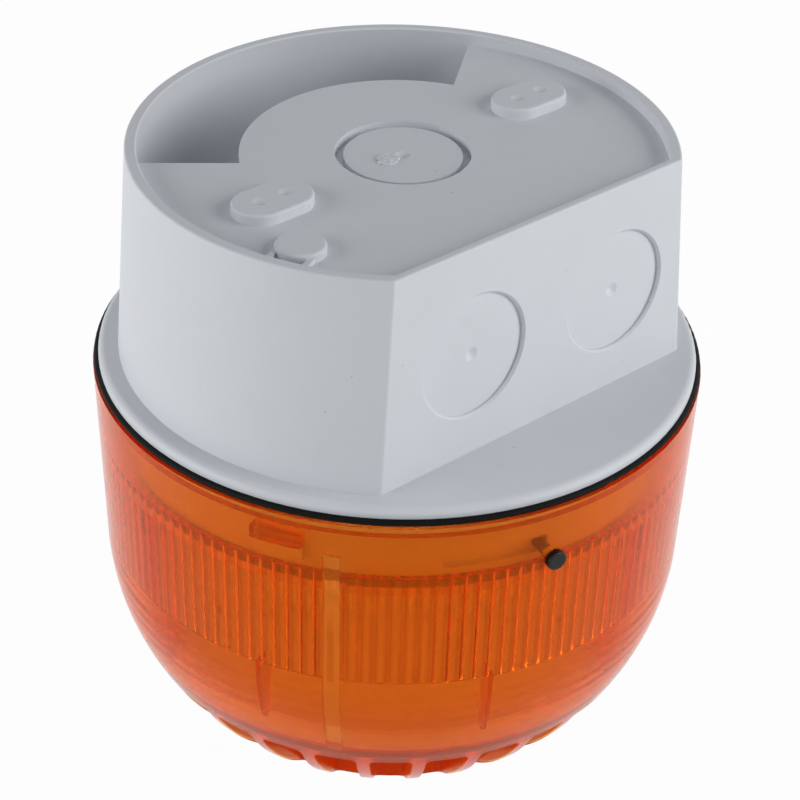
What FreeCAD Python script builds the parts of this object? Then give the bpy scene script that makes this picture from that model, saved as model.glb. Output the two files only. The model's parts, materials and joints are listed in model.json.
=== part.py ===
"""Beacon sounder: a wall base with a twist-on amber head, standing on its lens with the base up.

Millimetres. The origin is the centre of the lens's end cap, +Z is the axis of the beacon and
points out of the mounting face, and the flat side of the base faces -Y.
"""
import FreeCAD
import Part
import math
import os

# Driving dimensions of the lens
lens_height = 74.2
lens_top_radius = 50.65
lens_draft = 0.85
dome_height = 42.0
end_cap_radius = 20.0
lens_wall = 2.6
flute_count = 135
flute_drop = 0.4
flute_gap = 1.0
flute_depth = 0.45
flute_stand = 0.5
flute_root = 1.2
flute_crest_share = 0.2
flute_flank_share = 0.3
keyway_width = 2.7
keyway_depth = 0.9
keyway_drop = 7.2
keyway_angle = -142.6
keyway_count = 3
rim_rebate_width = 1.1
rim_rebate_depth = 2.4
slot_count = 30
slot_angle = 9.2
slot_first_rib = 7.35
slot_top = 22.0
slot_inset = 10.5
slot_corner = 1.2
ring_count = 5
ring_pitch = 2.4
ring_height = 0.07
ring_drop = 2.4
dome_rib_angles = (-157.5, -112.0)
dome_rib_width = 0.8
dome_rib_reach = 3.6
dome_rib_lift = 4.7
guard_wall = 4.0
guard_foot_inset = 5.2
guard_gap = 3.0
guard_opening = 5.8
ledge_width = 4.4
ledge_thickness = 2.0
ledge_above_slots = 0.3

# Driving dimensions of the base
seal_gap = 1.2
seal_reach = 0.8
flange_thickness = 1.8
flange_setback = 0.95
flange_round = 1.2
round_limit = 0.9
flange_ledge = 3.3
base_depth = 35.8
drum_draft = 2.5
flat_cut = 13.1
flat_draft = 1.1
corner_round = 0.7
rim_round = 0.45
rim_chamfer = 0.25
base_wall = 2.4
rim_width = 1.9
flat_rim_width = 1.4
plate_recess = 2.2
plate_thickness = 2.4
recess_width = 16.0
recess_depth = 21.0
recess_angle = 103.0
recess_apex_offset = 5.0
recess_floor = 2.4
knockout_radius = 10.2
knockout_groove_width = 1.4
knockout_groove_depth = 1.7
knockout_drop = 0.5
side_knockout_depth = 0.75
side_knockout_edge = 0.35
side_knockout_offset = 15.0
side_knockout_shift = 1.2
side_knockout_drop = 18.7
gate_mark_radius = 1.6
gate_mark_height = 0.25
gate_mark_offset = 3.1
fixing_inner = 25.0
fixing_outer = 30.0
left_fixing_shift = 1.5
fixing_boss_length = 13.8
fixing_boss_width = 8.8
fixing_boss_height = 1.9
boss_edge = 0.5
drill_mark_radius = 1.2
drill_mark_depth = 0.5
index_boss_radius = 3.9
index_boss_height = 1.6
index_boss_angle = -156.0
index_boss_gap = 2.6
index_rib_width = 0.9
index_rib_height = 0.9
index_rib_offset = 2.9

# Driving dimensions of the twist joint and its locking pin
spigot_gap = 2.6
spigot_wall = 2.2
spigot_length = 13.4
lug_count = 3
lug_angle = 10.0
lug_first_angle = -153.5
lug_reach = 1.6
lug_thickness = 2.4
lug_drop = 9.0
tab_angle = 10.0
tab_thickness = 2.4
twist_angle = 18.0
pin_radius = 0.95
pin_head_radius = 1.65
pin_head_height = 1.2
pin_drop = 9.6
pin_angle = -102.3
pin_groove_depth = 1.2

# Clearances
turn_clearance = 0.4
seal_clearance = 0.25
seal_round = 0.45
seat_clearance = 0.05
slide_clearance = 0.06
contact_clearance = 0.3

# Driving dimensions of the pieces inside the base
terminal_board_gap = 6.0
wiring_gap = 12.3
board_thickness = 1.6
board_post_height = 4.0
board_post_inset = 4.4
plate_post_angle = -25.0
floor_post_angle = 43.0
post_radius = 3.2
screw_radius = 1.2
screw_head_radius = 2.4
screw_head_height = 1.6
screw_grip = 5.0
cross_width = 0.33
cross_length = 1.3
terminal_ways = 6
terminal_pitch = 5.5
terminal_wall = 1.2
terminal_depth = 10.0
terminal_height = 9.5
terminal_inset = 3.0
wire_hole_radius = 1.7
clamp_wall = 0.5
terminal_screw_radius = 1.1
terminal_screw_head = 1.8
terminal_screw_slot = 0.5
carrier_wall = 1.8
carrier_depth = 7.0
carrier_height = 14.0
carrier_y = 13.0
contact_inner_x = 4.0
contact_outer_x = 10.0
contact_width = 1.8
contact_gauge = 0.4
contact_bow = 2.2
capacitor_radius = 4.0
capacitor_length = 14.0
capacitor_x = -22.0
capacitor_y = 4.0
choke_radius = 6.0
choke_hole = 2.6
choke_thickness = 5.0
choke_inset = 13.0
choke_y = 8.0
varistor_radius = 4.5
varistor_thickness = 3.6
varistor_inset = 8.0
varistor_y = -4.0
fuse_radius = 2.5
fuse_length = 20.0
fuse_cap_length = 5.0
fuse_y = 25.0
fuse_stand = 1.2
clip_gauge = 0.5
clip_width = 4.0

# Driving dimensions of the pieces inside the head
post_angle = -72.0
post_count = 3
lens_post_radius = 2.3
lens_post_inset = 4.2
head_board_gap = 2.0
head_board_edge_gap = 1.0
board_screw_radius = 0.9
board_screw_head = 1.9
board_screw_head_height = 1.3
board_screw_grip = 7.0
baffle_seal_thickness = 1.0
baffle_thickness = 2.2
baffle_edge_gap = 0.4
driver_flange_radius = 26.0
driver_flange_thickness = 2.0
driver_skirt_radius = 22.5
driver_skirt_wall = 1.8
driver_depth = 15.0
driver_ledge = 1.6
driver_screw_edge = 1.8
driver_screw_radius = 0.9
driver_screw_head = 1.5
driver_screw_head_height = 1.0
yoke_radius = 12.0
yoke_wall = 2.0
yoke_height = 10.0
magnet_radius = 7.4
magnet_height = 4.4
pole_plate_radius = 8.4
pole_plate_height = 2.4
coil_radius = 8.9
coil_gauge = 0.6
coil_height = 7.0
diaphragm_gauge = 0.5
diaphragm_rise = 1.6
column_sides = 6
column_flats = 24.0
column_wall = 1.6
led_board_width = 12.0
led_board_end_gap = 0.95
led_board_thickness = 1.0
led_rows = 4
led_end_gap = 4.5
led_width = 3.5
led_body_height = 0.8
led_dome_radius = 1.3
dip_ways = 5
dip_pitch = 2.54
dip_end_wall = 0.5
dip_width = 6.6
dip_height = 3.6
dip_y = -15.0
dip_slot_length = 3.6
dip_slot_depth = 1.6
dip_slider_length = 1.6
dip_slider_width = 1.2
dip_slider_stand = 0.7
trimmer_width = 6.6
trimmer_height = 4.6
trimmer_x = -19.0
trimmer_y = -6.0
trimmer_rotor_radius = 2.4
trimmer_rotor_height = 2.0
trimmer_rotor_stand = 0.5
trimmer_slot_width = 0.7
trimmer_slot_length = 3.6
trimmer_slot_depth = 0.9
chip_width = 10.0
chip_height = 1.8
chip_x = 19.0
chip_y = -8.0
inductor_radius = 5.0
inductor_height = 6.0
inductor_x = 24.0
inductor_y = 14.0
board_capacitor_count = 2
board_capacitor_radius = 3.2
board_capacitor_height = 8.0
board_capacitor_x = -26.0
board_capacitor_y = 14.0
board_capacitor_pitch = 9.0
pad_width = 2.8
pad_thickness = 0.3
pad_margin = 4.0

# Levels and places that follow from the sizes above
lens_waist_radius = lens_top_radius - lens_draft
lens_inner_waist = lens_waist_radius - lens_wall
flute_bottom = dome_height - flute_drop
flute_crest_radius = lens_inner_waist - flute_stand
lens_post_circle = lens_inner_waist - lens_post_inset
slot_inner_radius = end_cap_radius + slot_inset
flange_radius = lens_top_radius - flange_setback
foot_radius = flange_radius - flange_ledge
rim_radius = foot_radius - drum_draft
flat_at_foot = foot_radius - flat_cut
flat_at_rim = flat_at_foot - flat_draft
recess_inner_radius = rim_radius - rim_width - recess_width
flange_bottom = lens_height + seal_gap
flange_top = flange_bottom + flange_thickness
rim_level = flange_top + base_depth
plate_top = rim_level - plate_recess
plate_bottom = plate_top - plate_thickness
recess_level = rim_level - recess_depth
spigot_bottom = flange_bottom - spigot_length
spigot_radius = lens_top_radius - lens_wall - spigot_gap
spigot_bore = spigot_radius - spigot_wall
lug_top = flange_bottom - lug_drop
flute_top = lug_top - lug_thickness - flute_gap
pin_level = lens_height - pin_drop
terminal_board_top = recess_level - recess_floor - board_post_height
terminal_board_bottom = terminal_board_top - board_thickness
terminal_board_radius = spigot_bore - terminal_board_gap
terminal_board_chord = flat_at_foot - wiring_gap
terminal_y = terminal_inset + terminal_depth / 2 - terminal_board_chord
varistor_x = terminal_board_radius - varistor_inset
choke_x = terminal_board_radius - choke_inset
dome_span = lens_waist_radius - end_cap_radius
dome_radius = (dome_span**2 + dome_height**2) / (2 * dome_span)
dome_centre = lens_waist_radius - dome_radius
ledge_bottom = slot_top + ledge_above_slots
ledge_top = ledge_bottom + ledge_thickness
baffle_bottom = ledge_top + baffle_seal_thickness
baffle_top = baffle_bottom + baffle_thickness
head_board_top = spigot_bottom - head_board_gap
head_board_height = head_board_top - board_thickness
head_board_radius = flute_crest_radius - head_board_edge_gap
led_board_bottom = baffle_top + led_board_end_gap
led_board_top = head_board_height - led_board_end_gap
led_pitch = (led_board_top - led_board_bottom - 2 * led_end_gap) / (led_rows - 1)
driver_screw_circle = driver_flange_radius - driver_screw_edge
contact_level = head_board_top + pad_thickness + contact_clearance
Z = FreeCAD.Vector(0, 0, 1)
ORIGIN = FreeCAD.Vector(0, 0, 0)


# Helpers
def vec(x, y, z):
    return FreeCAD.Vector(x, y, z)


def polar(radius, angle, z):
    turn = math.radians(angle)
    return vec(radius * math.cos(turn), radius * math.sin(turn), z)


def disc(radius, low, high, x=0.0, y=0.0):
    return Part.makeCylinder(radius, high - low, vec(x, y, low))


def tube(inner, outer, low, high, x=0.0, y=0.0):
    return disc(outer, low, high, x, y).cut(disc(inner, low, high, x, y))


def block(width, depth, low, high, x=0.0, y=0.0):
    return Part.makeBox(width, depth, high - low, vec(x - width / 2, y - depth / 2, low))


def turned(shape, angle):
    copy = shape.copy()
    copy.rotate(ORIGIN, Z, angle)
    return copy


def moved(shape, x, y, z):
    copy = shape.copy()
    copy.translate(vec(x, y, z))
    return copy


def ring_piece(inner, outer, low, high, middle, span):
    wedge = Part.makeCylinder(outer, high - low, vec(0, 0, low), Z, span)
    wedge = wedge.cut(disc(inner, low, high))
    return turned(wedge, middle - span / 2)


def revolved(points):
    """A solid turned from a closed outline of (radius, height) points."""
    corners = [vec(r, 0, z) for r, z in points]
    outline = Part.makePolygon(corners + corners[:1])
    return Part.Face(outline).revolve(ORIGIN, Z, 360)


def rod(radius, start, end):
    along = end.sub(start)
    return Part.makeCylinder(radius, along.Length, start, along)


def around(count, first=0.0):
    return [first + 360.0 * i / count for i in range(count)]


def group(solids):
    return Part.makeCompound(solids)


# Base
def drum_radius(z):
    rise = (z - flange_top) / base_depth
    return foot_radius + (rim_radius - foot_radius) * rise


def flat_distance(z):
    rise = (z - flange_top) / base_depth
    return flat_at_foot + (flat_at_rim - flat_at_foot) * rise


def drum(inset, low, high, inset_high=None, flat_ease=0):
    """The tapered drum, its side moved inwards by the inset at the two levels, its flat by less."""
    inset_high = inset if inset_high is None else inset_high
    cone = Part.makeCone(drum_radius(low) - inset, drum_radius(high) - inset_high, high - low, vec(0, 0, low))
    reach = 2 * flange_radius
    flat_low = inset - flat_ease - flat_distance(low)
    flat_high = inset_high - flat_ease - flat_distance(high)
    corners = [vec(-reach, flat_low, low), vec(-reach, reach, low), vec(-reach, reach, high),
               vec(-reach, flat_high, high)]
    keep = Part.Face(Part.makePolygon(corners + corners[:1])).extrude(vec(2 * reach, 0, 0))
    return cone.common(keep)


def rounded_drum():
    """The outside of the drum, with its upright corners and its rim rounded."""
    body = drum(0, flange_top, rim_level)
    upright = [e for e in body.Edges if abs(e.BoundBox.ZLength - base_depth) < 1e-6
               and abs(e.Vertexes[0].Y + flat_distance(e.Vertexes[0].Z)) < 1e-6]
    body = body.makeFillet(corner_round, upright)
    rim = [e for e in body.Edges if e.BoundBox.ZMin > rim_level - 1e-6]
    return body.makeFillet(rim_round, rim)


def cable_recess(grow, low):
    """The deep recess behind the rim, or with growth the block that its walls are cut from."""
    half = recess_angle / 2
    apex = -recess_apex_offset - grow / math.sin(math.radians(half))
    wedge = Part.makeCylinder(2 * flange_radius, rim_level - low, vec(0, 0, low), Z, recess_angle)
    wedge = moved(turned(wedge, 90 - half), 0, apex, 0)
    piece = wedge.cut(disc(recess_inner_radius - grow, low, rim_level))
    return piece.common(drum(rim_width - grow / 2, low, rim_level))


def obround(length, width, low, high, x, y):
    straight = length - width
    ends = [disc(width / 2, low, high, x + side * straight / 2, y) for side in (-1, 1)]
    return block(straight, width, low, high, x, y).fuse(ends).removeSplitter()


def drill_mark(x, y, level):
    """A shallow cone that centres a drill, cut into a face at this level."""
    return Part.makeCone(0, drill_mark_radius, drill_mark_depth, vec(x, y, level - drill_mark_depth))


def rear_knockout():
    """A break groove round a disc that lies a little below the plate and keeps the mould's gate mark."""
    inner = knockout_radius - knockout_groove_width / 2
    outer = knockout_radius + knockout_groove_width / 2
    top = plate_top - knockout_drop
    groove = tube(inner, outer, plate_top - knockout_groove_depth, rim_level)
    gate_mark = disc(gate_mark_radius, top, top + gate_mark_height, -gate_mark_offset, 0)
    over = disc(outer, top, rim_level).cut(gate_mark)
    return groove.fuse([over, drill_mark(0, 0, top)])


def side_knockout(side):
    """A shallow round recess with a chamfered edge and a drill mark, sunk into the flat side."""
    draft = math.degrees(math.atan2(flat_at_foot - flat_at_rim, base_depth))
    cut = disc(knockout_radius, -side_knockout_depth, base_wall)
    edge = Part.makeCone(knockout_radius, knockout_radius + side_knockout_edge, side_knockout_edge,
                         vec(0, 0, -side_knockout_edge))
    cut = cut.fuse([edge, drill_mark(0, 0, -side_knockout_depth)])
    cut.rotate(ORIGIN, vec(1, 0, 0), 90 - draft)
    z = rim_level - side_knockout_drop
    return moved(cut, side * side_knockout_offset + side_knockout_shift, -flat_distance(z), z)


def rounded_top(piece, top):
    """A boss with the edge of its top face rounded."""
    edges = [e for e in piece.Edges if all(abs(v.Z - top) < 1e-6 for v in e.Vertexes)]
    return piece.makeFillet(boss_edge, edges)


def fixing_row(side):
    """How far the fixing boss on this side stands from the X axis."""
    return -left_fixing_shift if side < 0 else 0.0


def fixing_bosses():
    top = plate_top + fixing_boss_height
    middle = (fixing_inner + fixing_outer) / 2
    bosses = [obround(fixing_boss_length, fixing_boss_width, plate_bottom, top, side * middle, fixing_row(side))
              for side in (-1, 1)]
    return [rounded_top(boss, top) for boss in bosses]


def index_boss():
    """A round boss on the plate, with two ribs that tie it to the rim."""
    wall = drum_radius(plate_top) - rim_width
    reach = wall - index_boss_gap - index_boss_radius
    top = plate_top + index_boss_height
    boss = rounded_top(disc(index_boss_radius, plate_bottom, top, reach, 0), top)
    length = wall + rim_width / 2 - reach
    ribs = [block(length, index_rib_width, plate_bottom, plate_top + index_rib_height, reach + length / 2,
                  side * index_rib_offset) for side in (-1, 1)]
    return turned(boss.fuse(ribs), index_boss_angle)


def fixing_marks():
    top = plate_top + fixing_boss_height
    return [drill_mark(side * x, fixing_row(side), top)
            for side in (-1, 1) for x in (fixing_inner, fixing_outer)]


def terminal_board_posts():
    """Where the board's posts stand: two under the plate, then two under the recess's floor."""
    circle = terminal_board_radius - board_post_inset
    angles = (plate_post_angle, 180 - plate_post_angle, floor_post_angle, 180 - floor_post_angle)
    return [(polar(circle, angle, 0).x, polar(circle, angle, 0).y) for angle in angles]


def pin_groove():
    inner = spigot_radius - pin_groove_depth
    margin = math.degrees((pin_radius + turn_clearance) / spigot_radius)
    low = pin_level - pin_radius - turn_clearance
    high = pin_level + pin_radius + turn_clearance
    span = twist_angle + 2 * margin
    return ring_piece(inner, lens_top_radius, low, high, pin_angle - twist_angle / 2, span)


def lug_angles():
    """Where the base's lugs stand, and above them at rest the lens's tabs."""
    return around(lug_count, lug_first_angle)


def make_base_housing():
    body = rounded_drum().cut(drum(base_wall, flange_top, plate_bottom))
    flat_ease = rim_width - flat_rim_width
    body = body.cut(drum(rim_width, plate_top, rim_level, None, flat_ease))
    body = body.cut(drum(rim_width, rim_level - rim_chamfer, rim_level, rim_width - rim_chamfer, flat_ease))
    flange = disc(flange_radius, flange_bottom, flange_top)
    edge = [e for e in flange.Edges if len(e.Vertexes) == 1 and abs(e.Vertexes[0].Z - flange_top) < 1e-6]
    flange = flange.makeFillet(min(flange_round, round_limit * flange_thickness), edge)
    opening = drum(base_wall, flange_top, plate_bottom)
    hole = Part.makeFace(opening.slice(Z, flange_top + seat_clearance), "Part::FaceMakerSimple")
    hole = hole.extrude(vec(0, 0, -2 * flange_thickness))
    flange = flange.cut(hole.common(disc(spigot_bore, flange_bottom - flange_thickness, rim_level)))
    spigot = tube(spigot_bore, spigot_radius, spigot_bottom, flange_bottom)
    lugs = [ring_piece(spigot_radius - spigot_wall / 2, spigot_radius + lug_reach, lug_top - lug_thickness,
                       lug_top, angle, lug_angle) for angle in lug_angles()]
    recess_block = cable_recess(base_wall, recess_level - recess_floor)
    recess_block = recess_block.cut(drum(0, plate_top, rim_level))
    body = body.fuse([flange, spigot, recess_block, index_boss()] + lugs + fixing_bosses())
    for x, y in terminal_board_posts():
        ceiling = plate_bottom if y < 0 else recess_level - recess_floor
        post = disc(post_radius, terminal_board_top, ceiling + seat_clearance, x, y)
        body = body.fuse(post)
        body = body.cut(disc(screw_radius + seat_clearance, terminal_board_top,
                             terminal_board_top + screw_grip, x, y))
    body = body.cut(cable_recess(0, recess_level))
    cuts = [rear_knockout(), side_knockout(-1), side_knockout(1), pin_groove()]
    return body.cut(cuts + fixing_marks()).removeSplitter()


def make_flange_seal():
    low = lens_height + seal_clearance
    seal_radius = flange_radius + seal_reach
    ring = tube(spigot_radius + seat_clearance, seal_radius, low, flange_bottom)
    outer = [e for e in ring.Edges if len(e.Vertexes) == 1 and e.Curve.Radius > seal_radius - 1e-6]
    return ring.makeFillet(seal_round * (flange_bottom - low), outer)


def pan_screw(radius, head_radius, head_height, grip):
    """A cross-head screw that points up: its seat at the origin, its head below."""
    head = disc(head_radius, -head_height, 0)
    low_edge = [e for e in head.Edges if len(e.Vertexes) == 1 and abs(e.Vertexes[0].Z + head_height) < 1e-6]
    head = head.makeFillet(head_height / 2, low_edge)
    narrow = cross_width * head_radius
    wide = cross_length * head_radius
    for width, depth in ((narrow, wide), (wide, narrow)):
        head = head.cut(block(width, depth, -head_height, -head_height / 2))
    return head.fuse(disc(radius, 0, grip)).removeSplitter()


def make_terminal_board():
    board = disc(terminal_board_radius, terminal_board_bottom, terminal_board_top)
    reach = 2 * terminal_board_radius
    board = board.cut(block(reach, reach, terminal_board_bottom, terminal_board_top,
                            0, -terminal_board_chord - terminal_board_radius))
    for x, y in terminal_board_posts():
        board = board.cut(disc(screw_radius + seat_clearance, terminal_board_bottom, terminal_board_top, x, y))
    return board


def make_terminal_board_screws():
    screw = pan_screw(screw_radius, screw_head_radius, screw_head_height,
                      board_thickness + screw_grip - seat_clearance)
    return group([moved(screw, x, y, terminal_board_bottom) for x, y in terminal_board_posts()])


def terminal_places():
    first = -terminal_pitch * (terminal_ways - 1) / 2
    return [first + terminal_pitch * i for i in range(terminal_ways)]


def terminal_cell():
    """The width of one clamp's cell in the terminal block and the level of its middle."""
    return terminal_pitch - terminal_wall, terminal_board_bottom - terminal_height / 2


def make_terminal_block():
    low = terminal_board_bottom - terminal_height
    width = terminal_ways * terminal_pitch + terminal_wall
    body = block(width, terminal_depth, low, terminal_board_bottom, 0, terminal_y)
    cell, middle = terminal_cell()
    for x in terminal_places():
        body = body.cut(block(cell, cell, middle - cell / 2, middle + cell / 2, x, terminal_y))
        body = body.cut(disc(terminal_screw_head + slide_clearance, low, middle, x, terminal_y))
        front = vec(x, terminal_y - terminal_depth, middle)
        body = body.cut(rod(wire_hole_radius, front, vec(x, terminal_y, middle)))
    return body


def make_terminal_clamps():
    cell, middle = terminal_cell()
    size = cell - 2 * seat_clearance
    clamps = []
    for x in terminal_places():
        cage = block(size, size, middle - size / 2, middle + size / 2, x, terminal_y)
        hollow = size - 2 * clamp_wall
        cage = cage.cut(block(hollow, 2 * size, middle - hollow / 2, middle + hollow / 2, x, terminal_y))
        hole = disc(terminal_screw_radius + slide_clearance, middle - size, middle, x, terminal_y)
        clamps.append(cage.cut(hole))
    return group(clamps)


def make_terminal_screws():
    low = terminal_board_bottom - terminal_height
    cell, middle = terminal_cell()
    seat = middle - cell / 2
    head_low = low + terminal_screw_slot
    screws = []
    for x in terminal_places():
        screw = disc(terminal_screw_head, head_low, seat, x, terminal_y)
        screw = screw.fuse(disc(terminal_screw_radius, seat, middle, x, terminal_y))
        slot = block(2 * terminal_screw_head, terminal_screw_slot, head_low, head_low + 2 * terminal_screw_slot,
                     x, terminal_y)
        screws.append(screw.cut(slot).removeSplitter())
    return group(screws)


def contact_places():
    return [side * x for x in (contact_outer_x, contact_inner_x) for side in (-1, 1)]


def make_contact_carrier():
    width = 2 * (contact_outer_x + contact_width / 2 + carrier_wall)
    low = terminal_board_bottom - carrier_height
    body = block(width, carrier_depth, low, terminal_board_bottom, 0, carrier_y)
    slot = contact_width + 2 * seat_clearance
    gap = contact_gauge + 2 * seat_clearance
    leg_y = carrier_y - contact_bow + contact_gauge / 2
    for x in contact_places():
        body = body.cut(block(slot, gap, low, low + carrier_height / 2, x, leg_y))
    return body


def make_contact_springs():
    """Hooked leaf springs whose round ends bear on the head's contact pads."""
    bow_level = contact_level + contact_bow
    top = terminal_board_bottom - carrier_height / 2
    springs = []
    for x in contact_places():
        start = vec(x - contact_width / 2, carrier_y, bow_level)
        along = vec(1, 0, 0)
        bow = Part.makeCylinder(contact_bow, contact_width, start, along)
        bow = bow.cut(Part.makeCylinder(contact_bow - contact_gauge, contact_width, start, along))
        bow = bow.cut(block(contact_width, 3 * contact_bow, bow_level, bow_level + contact_bow, x, carrier_y))
        leg_y = carrier_y - contact_bow + contact_gauge / 2
        leg = block(contact_width, contact_gauge, bow_level, top, x, leg_y)
        springs.append(bow.fuse(leg).removeSplitter())
    return group(springs)


def make_supply_capacitor():
    z = terminal_board_bottom - capacitor_radius
    start = vec(capacitor_x, capacitor_y - capacitor_length / 2, z)
    can = rod(capacitor_radius, start, vec(capacitor_x, capacitor_y + capacitor_length / 2, z))
    return can.makeFillet(capacitor_radius / 5, [e for e in can.Edges if len(e.Vertexes) == 1])


def make_suppression_choke():
    low = terminal_board_bottom - choke_thickness
    ring = tube(choke_hole, choke_radius, low, terminal_board_bottom, choke_x, choke_y)
    lower = [e for e in ring.Edges if len(e.Vertexes) == 1 and abs(e.Vertexes[0].Z - low) < 1e-6]
    return ring.makeFillet(choke_thickness / 5, lower)


def make_surge_varistor():
    z = terminal_board_bottom - varistor_radius
    start = vec(varistor_x - varistor_thickness / 2, varistor_y, z)
    body = rod(varistor_radius, start, vec(varistor_x + varistor_thickness / 2, varistor_y, z))
    return body.makeFillet(varistor_thickness / 4, [e for e in body.Edges if len(e.Vertexes) == 1])


def fuse_level():
    return terminal_board_bottom - fuse_stand - fuse_radius


def make_fuse():
    half = fuse_length / 2
    z = fuse_level()
    body = rod(fuse_radius - clip_gauge / 2, vec(-half, fuse_y, z), vec(half, fuse_y, z))
    caps = [rod(fuse_radius, vec(side * half, fuse_y, z), vec(side * (half - fuse_cap_length), fuse_y, z))
            for side in (-1, 1)]
    return body.fuse(caps).removeSplitter()


def make_fuse_clips():
    """Two sprung clips that hold the fuse by its end caps."""
    clips = []
    z = fuse_level()
    inner = fuse_radius + seat_clearance
    outer = inner + clip_gauge
    for side in (-1, 1):
        x = side * (fuse_length - fuse_cap_length) / 2
        start = vec(x - clip_width / 2, fuse_y, z)
        end = vec(x + clip_width / 2, fuse_y, z)
        clip = rod(outer, start, end).fuse(block(clip_width, 2 * inner, z, terminal_board_bottom, x, fuse_y))
        mouth = block(2 * clip_width, inner, z - 2 * outer, z, x, fuse_y)
        clips.append(clip.cut([rod(inner, start, end), mouth]).removeSplitter())
    return group(clips)


# Lens and the pin that locks it
def lens_profile(inset):
    """The wall's outline on the XZ plane from the axis to the top edge, moved inwards by the inset."""
    radius = dome_radius - inset
    base = dome_centre + math.sqrt(radius**2 - (dome_height - inset)**2)
    tilt = math.atan2(dome_height - inset, base - dome_centre) / 2
    middle = vec(dome_centre + radius * math.cos(tilt), 0, dome_height - radius * math.sin(tilt))
    waist = vec(lens_waist_radius - inset, 0, dome_height)
    cap = vec(base, 0, inset)
    top = vec(lens_top_radius - inset, 0, lens_height)
    edges = [Part.makeLine(vec(0, 0, inset), cap), Part.Arc(cap, middle, waist).toShape(),
             Part.makeLine(waist, top)]
    return edges, top


def lens_body(inset):
    """The solid inside the wall's outline at this inset, up to the lens's top edge."""
    edges, top = lens_profile(inset)
    edges.append(Part.makeLine(top, vec(0, 0, lens_height)))
    edges.append(Part.makeLine(vec(0, 0, lens_height), vec(0, 0, inset)))
    return Part.Face(Part.Wire(edges)).revolve(ORIGIN, Z, 360)


def flute_ring():
    """A band of upright flat-topped prisms on the inside of the wall."""
    valley = flute_crest_radius + flute_depth
    step = 360.0 / flute_count
    crest_end = step * flute_crest_share / 2
    valley_start = crest_end + step * flute_flank_share
    corners = []
    for angle in around(flute_count):
        corners.append(polar(valley, angle - valley_start, flute_bottom))
        corners.append(polar(flute_crest_radius, angle - crest_end, flute_bottom))
        corners.append(polar(flute_crest_radius, angle + crest_end, flute_bottom))
        corners.append(polar(valley, angle + valley_start, flute_bottom))
    inner = Part.Face(Part.makePolygon(corners + corners[:1]))
    root = Part.makeCircle(lens_inner_waist + flute_root, vec(0, 0, flute_bottom))
    return Part.Face(Part.Wire(root)).cut(inner).extrude(vec(0, 0, flute_top - flute_bottom))


def keyways():
    """Upright grooves in the inside of the wall, which part the flutes and the dome's rings."""
    grown = lens_body(lens_wall - keyway_depth)
    strip = block(lens_top_radius, keyway_width, ledge_top, lens_height - keyway_drop, lens_top_radius)
    return [grown.common(turned(strip, angle)) for angle in around(keyway_count, keyway_angle)]


def slot_tool():
    """One sound slot: a wedge with rounded upper corners and a rounded inner end."""
    wedge = ring_piece(slot_inner_radius, flange_radius, -lens_wall, slot_top, 0, slot_angle)
    rounded = []
    for edge in wedge.Edges:
        straight = isinstance(edge.Curve, Part.Line)
        at_top = edge.BoundBox.ZMin > slot_top - 1e-6
        upright = edge.BoundBox.ZLength > 1e-6
        at_inner_end = edge.BoundBox.XMax < slot_inner_radius + 1e-6
        if straight and (at_top or (upright and at_inner_end)):
            rounded.append(edge)
    return wedge.makeFillet(slot_corner, rounded)


def lens_posts():
    """Three screw posts for the head's board, which stand on the ledge."""
    post = disc(lens_post_radius, ledge_bottom, head_board_height, lens_post_circle)
    return [turned(post, angle) for angle in around(post_count, post_angle)]


def dome_ribs():
    """Thin upright ribs inside the dome, below the flutes."""
    inner = lens_inner_waist - dome_rib_reach
    rib = block(lens_top_radius - inner, dome_rib_width, ledge_top + dome_rib_lift, flute_bottom,
                (lens_top_radius + inner) / 2)
    return [turned(rib, angle) for angle in dome_rib_angles]


def slot_guard():
    """A cone on the end cap that stands behind the slots, so that water that gets in runs out again."""
    foot = slot_inner_radius - guard_foot_inset
    level = ledge_bottom - guard_opening
    top = dome_inner_radius(level) - guard_gap
    bottom = lens_wall / 2
    return revolved([(foot - guard_wall, bottom), (foot, bottom), (top, level), (top - guard_wall, level)])


def rim_rebate():
    """A step round the inside of the rim, where the wall is thinner."""
    inner = lens_top_radius - lens_wall
    return tube(inner - lens_wall, inner + rim_rebate_width, lens_height - rim_rebate_depth, lens_height)


def dome_inner_radius(z):
    """The inside of the dome's wall at this level."""
    inner = dome_radius - lens_wall
    return dome_centre + math.sqrt(inner**2 - (dome_height - z)**2)


def dome_rings():
    """Low rings round the inside of the dome, below the flutes."""
    rings = []
    for i in range(ring_count):
        z = dome_height - ring_drop - ring_pitch * i
        low = dome_inner_radius(z - ring_pitch / 2)
        high = dome_inner_radius(min(z + ring_pitch / 2, dome_height))
        root = lens_wall / 2
        rings.append(revolved([(low, z - ring_pitch / 2), (dome_inner_radius(z) - ring_height, z),
                               (high, z + ring_pitch / 2), (high + root, z + ring_pitch / 2),
                               (low + root, z - ring_pitch / 2)]))
    return rings


def post_places():
    return [polar(lens_post_circle, angle, 0) for angle in around(post_count, post_angle)]


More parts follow.
